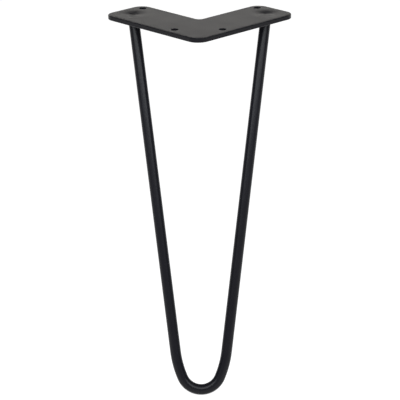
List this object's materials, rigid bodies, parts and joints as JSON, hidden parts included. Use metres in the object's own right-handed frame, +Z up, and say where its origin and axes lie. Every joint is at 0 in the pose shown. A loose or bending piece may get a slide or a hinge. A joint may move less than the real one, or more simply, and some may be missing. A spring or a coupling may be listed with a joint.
{
  "type": "hairpin table leg",
  "caption": "Hairpin table leg: a round bar bent to a narrow V with a rounded foot, its ends welded under a flat right-angled boomerang plate that screws to the table top.",
  "frame": {"origin": "on the plate's top face, midway between the two front screw holes", "axes": "+Z up into the table top, X = 0 the mirror plane, and -Y towards the plate's outer corner and the foot"},
  "size_m": [0.2014, 0.1617, 0.4059],
  "materials": {
    "powder_coat": "satin black powder coat on steel"
  },
  "bodies": {
    "root": {"mounting_plate": "powder_coat", "hairpin_rod": "powder_coat", "left_weld": "powder_coat", "right_weld": "powder_coat"}
  },
  "joints": []
}
